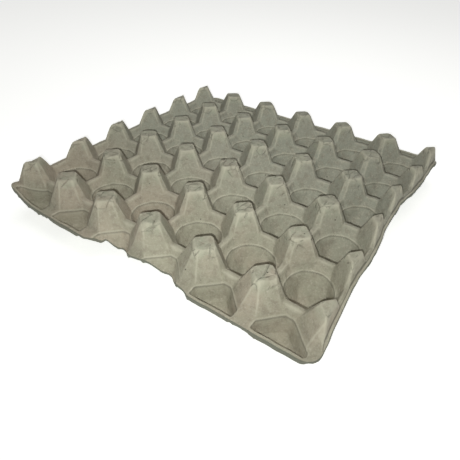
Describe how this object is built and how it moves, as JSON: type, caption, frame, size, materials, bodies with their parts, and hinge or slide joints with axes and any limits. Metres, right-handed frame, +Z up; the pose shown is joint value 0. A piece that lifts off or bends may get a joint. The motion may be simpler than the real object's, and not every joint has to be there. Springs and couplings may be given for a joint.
{
  "type": "egg tray",
  "caption": "Open moulded pulp tray with a grid of round-bottomed egg cells between tapered hollow posts and a turned-down rim, one end of which is partly torn away.",
  "frame": {"origin": "centre of the outline, on the plane of the bowl undersides the tray rests on", "axes": "+Z up towards the egg side; X along the six-cell side; Y along the five-cell side"},
  "size_m": [0.2886, 0.2986, 0.046],
  "materials": {
    "pulp": "matte moulded waste-paper pulp, warm grey with a fibrous surface"
  },
  "bodies": {
    "root": {"tray": "pulp"}
  },
  "joints": []
}
